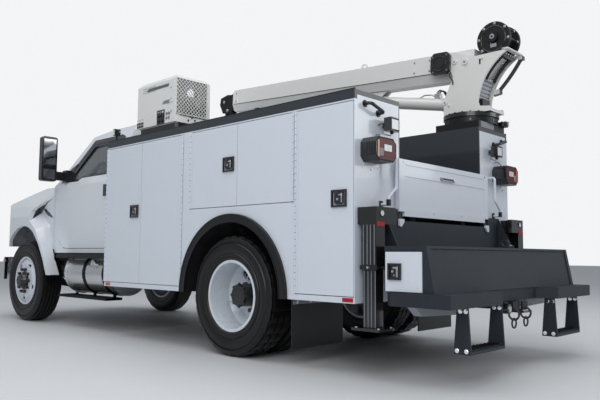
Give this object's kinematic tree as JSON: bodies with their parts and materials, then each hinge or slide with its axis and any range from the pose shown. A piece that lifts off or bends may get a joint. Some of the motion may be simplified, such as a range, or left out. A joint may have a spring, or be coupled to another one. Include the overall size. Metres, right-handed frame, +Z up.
{
  "type": "service crane truck",
  "caption": "Two-axle service truck with tall tool packs, a telescopic crane with a lift cylinder and winch, a welder, a bench bumper and drop-down outriggers.",
  "frame": {"origin": "on the ground, under the middle of the overall length and width", "axes": "+X forward, +Y to the driver's (left) side, +Z up"},
  "size_m": [6.992, 2.636, 3.0329],
  "materials": {
    "white_paint": "gloss",
    "black_paint": "satin",
    "bed_coat": "textured bedliner coat",
    "chassis_paint": "satin",
    "leg_paint": "gloss",
    "wheel_paint": "gloss",
    "tyre_rubber": "matte",
    "flare_rubber": "matte",
    "bumper_chrome": "polished",
    "tank_aluminium": "polished",
    "rod_steel": "polished",
    "cast_steel": "as cast, painted",
    "interior_plastic": "matte",
    "grille_plastic": "gloss",
    "lamp_plastic": "gloss",
    "glass": "clear, light tint"
  },
  "bodies": {
    "truck": {"chassis_frame": "chassis_paint", "powertrain": "cast_steel", "axles": "chassis_paint", "cab_shell": "white_paint", "cab_glass": "glass", "cab_interior": "interior_plastic", "front_bumper": "bumper_chrome", "fuel_tank": "tank_aluminium", "cab_steps": "black_paint", "pack_left": "white_paint", "pack_right": "white_paint", "bed": "bed_coat", "flares": "flare_rubber", "rear_apron": "bed_coat", "bench_bumper": "bed_coat", "outrigger_housings": "leg_paint", "tail_lamps": "lamp_plastic", "grab_bars": "black_paint", "welder": "white_paint", "crane_base": "black_paint"},
    "knuckle_left": {"knuckle_left": "cast_steel"},
    "front_wheel_left": {"front_tyre_left": "tyre_rubber", "front_rim_left": "wheel_paint"},
    "rear_wheels_left": {"rear_tyres_left": "tyre_rubber", "rear_rims_left": "wheel_paint"},
    "cab_door_left": {"cab_door_left": "white_paint", "door_glass_left": "glass"},
    "knuckle_right": {"knuckle_right": "cast_steel"},
    "front_wheel_right": {"front_tyre_right": "tyre_rubber", "front_rim_right": "wheel_paint"},
    "rear_wheels_right": {"rear_tyres_right": "tyre_rubber", "rear_rims_right": "wheel_paint"},
    "cab_door_right": {"cab_door_right": "white_paint", "door_glass_right": "glass"},
    "hood": {"hood": "white_paint", "grille": "grille_plastic"},
    "pack_door_a_left": {"pack_door_a_left": "white_paint"},
    "pack_door_a_right": {"pack_door_a_right": "white_paint"},
    "pack_door_b_left": {"pack_door_b_left": "white_paint"},
    "pack_door_b_right": {"pack_door_b_right": "white_paint"},
    "pack_door_c_left": {"pack_door_c_left": "white_paint"},
    "pack_door_c_right": {"pack_door_c_right": "white_paint"},
    "pack_door_d_left": {"pack_door_d_left": "white_paint"},
    "pack_door_d_right": {"pack_door_d_right": "white_paint"},
    "pack_door_e_left": {"pack_door_e_left": "white_paint"},
    "pack_door_e_right": {"pack_door_e_right": "white_paint"},
    "tailgate": {"tailgate": "white_paint"},
    "bench_door_left": {"bench_door_left": "white_paint"},
    "outrigger_leg_left": {"outrigger_leg_left": "leg_paint"},
    "bench_door_right": {"bench_door_right": "white_paint"},
    "outrigger_leg_right": {"outrigger_leg_right": "leg_paint"},
    "mast": {"crane_mast": "white_paint", "winch": "black_paint"},
    "boom": {"boom_outer": "white_paint"},
    "boom_stage": {"boom_stage": "white_paint"},
    "boom_head": {"boom_head": "black_paint"},
    "lift_barrel": {"lift_barrel": "white_paint"},
    "lift_rod": {"lift_rod": "rod_steel"}
  },
  "joints": [
    {"name": "steer_left", "type": "hinge", "parent": "truck", "child": "knuckle_left", "pos_m": [2.587, 0.87, 0.5], "axis": [0, 0, 1], "range_deg": [-35, 35]},
    {"name": "front_wheel_left_spin", "type": "hinge", "parent": "knuckle_left", "child": "front_wheel_left", "pos_m": [2.587, 1.015, 0.5], "axis": [0, 1, 0], "continuous": true},
    {"name": "rear_wheels_left_spin", "type": "hinge", "parent": "truck", "child": "rear_wheels_left", "pos_m": [-1.426, 0.8775, 0.5], "axis": [0, 1, 0], "continuous": true},
    {"name": "cab_door_left_hinge", "type": "hinge", "parent": "truck", "child": "cab_door_left", "pos_m": [2.124, 1.005, 1.3], "axis": [0, 0, -1], "range_deg": [0, 65]},
    {"name": "steer_right", "type": "hinge", "parent": "truck", "child": "knuckle_right", "pos_m": [2.587, -0.87, 0.5], "axis": [0, 0, 1], "range_deg": [-35, 35]},
    {"name": "front_wheel_right_spin", "type": "hinge", "parent": "knuckle_right", "child": "front_wheel_right", "pos_m": [2.587, -1.015, 0.5], "axis": [0, 1, 0], "continuous": true},
    {"name": "rear_wheels_right_spin", "type": "hinge", "parent": "truck", "child": "rear_wheels_right", "pos_m": [-1.426, -0.8775, 0.5], "axis": [0, 1, 0], "continuous": true},
    {"name": "cab_door_right_hinge", "type": "hinge", "parent": "truck", "child": "cab_door_right", "pos_m": [2.124, -1.005, 1.3], "axis": [0, 0, 1], "range_deg": [0, 65]},
    {"name": "hood_tilt", "type": "hinge", "parent": "truck", "child": "hood", "pos_m": [3.394, 0, 0.905], "axis": [0, 1, 0], "range_deg": [0, 55]},
    {"name": "pack_door_a_left_hinge", "type": "hinge", "parent": "truck", "child": "pack_door_a_left", "pos_m": [0.585, 1.1873, 1.25], "axis": [0, 0, -1], "range_deg": [0, 90]},
    {"name": "pack_door_a_right_hinge", "type": "hinge", "parent": "truck", "child": "pack_door_a_right", "pos_m": [0.585, -1.1873, 1.25], "axis": [0, 0, 1], "range_deg": [0, 90]},
    {"name": "pack_door_b_left_hinge", "type": "hinge", "parent": "truck", "child": "pack_door_b_left", "pos_m": [-0.737, 1.1873, 1.25], "axis": [0, 0, 1], "range_deg": [0, 90]},
    {"name": "pack_door_b_right_hinge", "type": "hinge", "parent": "truck", "child": "pack_door_b_right", "pos_m": [-0.737, -1.1873, 1.25], "axis": [0, 0, -1], "range_deg": [0, 90]},
    {"name": "pack_door_c_left_hinge", "type": "hinge", "parent": "truck", "child": "pack_door_c_left", "pos_m": [-0.857, 1.1873, 1.595], "axis": [0, 0, -1], "range_deg": [0, 90]},
    {"name": "pack_door_c_right_hinge", "type": "hinge", "parent": "truck", "child": "pack_door_c_right", "pos_m": [-0.857, -1.1873, 1.595], "axis": [0, 0, 1], "range_deg": [0, 90]},
    {"name": "pack_door_d_left_hinge", "type": "hinge", "parent": "truck", "child": "pack_door_d_left", "pos_m": [-2.153, 1.1873, 1.595], "axis": [0, 0, 1], "range_deg": [0, 90]},
    {"name": "pack_door_d_right_hinge", "type": "hinge", "parent": "truck", "child": "pack_door_d_right", "pos_m": [-2.153, -1.1873, 1.595], "axis": [0, 0, -1], "range_deg": [0, 90]},
    {"name": "pack_door_e_left_hinge", "type": "hinge", "parent": "truck", "child": "pack_door_e_left", "pos_m": [-2.179, 1.1873, 1.25], "axis": [0, 0, -1], "range_deg": [0, 90]},
    {"name": "pack_door_e_right_hinge", "type": "hinge", "parent": "truck", "child": "pack_door_e_right", "pos_m": [-2.179, -1.1873, 1.25], "axis": [0, 0, 1], "range_deg": [0, 90]},
    {"name": "tailgate_hinge", "type": "hinge", "parent": "truck", "child": "tailgate", "pos_m": [-2.766, 0, 1.152], "axis": [0, -1, 0], "range_deg": [0, 90]},
    {"name": "bench_door_left_hinge", "type": "hinge", "parent": "truck", "child": "bench_door_left", "pos_m": [-3.271, 1.147, 0.74], "axis": [0, 0, 1], "range_deg": [0, 90]},
    {"name": "outrigger_leg_left_slide", "type": "slide", "parent": "truck", "child": "outrigger_leg_left", "axis": [0, 0, -1], "range_m": [0, 0.32]},
    {"name": "bench_door_right_hinge", "type": "hinge", "parent": "truck", "child": "bench_door_right", "pos_m": [-3.271, -1.147, 0.74], "axis": [0, 0, -1], "range_deg": [0, 90]},
    {"name": "outrigger_leg_right_slide", "type": "slide", "parent": "truck", "child": "outrigger_leg_right", "axis": [0, 0, -1], "range_m": [0, 0.32]},
    {"name": "crane_slew", "type": "hinge", "parent": "truck", "child": "mast", "pos_m": [-2.526, -0.905, 2.15], "axis": [0, 0, -1], "range_deg": [0, 270]},
    {"name": "boom_lift", "type": "hinge", "parent": "mast", "child": "boom", "pos_m": [-2.546, -0.905, 2.7], "axis": [0, -1, 0], "range_deg": [0, 75]},
    {"name": "boom_stage_slide", "type": "slide", "parent": "boom", "child": "boom_stage", "axis": [0.9984, 0, 0.0558], "range_m": [0, 1.2]},
    {"name": "boom_head_slide", "type": "slide", "parent": "boom_stage", "child": "boom_head", "axis": [0.9984, 0, 0.0558], "range_m": [0, 1.2]},
    {"name": "lift_barrel_pivot", "type": "hinge", "parent": "mast", "child": "lift_barrel", "pos_m": [-2.326, -0.905, 2.335], "axis": [0, -1, 0], "range_deg": [0, 70]},
    {"name": "lift_rod_slide", "type": "slide", "parent": "lift_barrel", "child": "lift_rod", "axis": [0.9821, 0, 0.1882], "range_m": [0, 0.51]}
  ],
  "couplings": [
    {"joint": "steer_right", "follows": "steer_left", "ratio": 1},
    {"joint": "boom_head_slide", "follows": "boom_stage_slide", "ratio": 1},
    {"joint": "lift_barrel_pivot", "follows": "boom_lift", "ratio": 0.921},
    {"joint": "lift_rod_slide", "follows": "boom_lift", "m_per_rad": 0.3843}
  ]
}
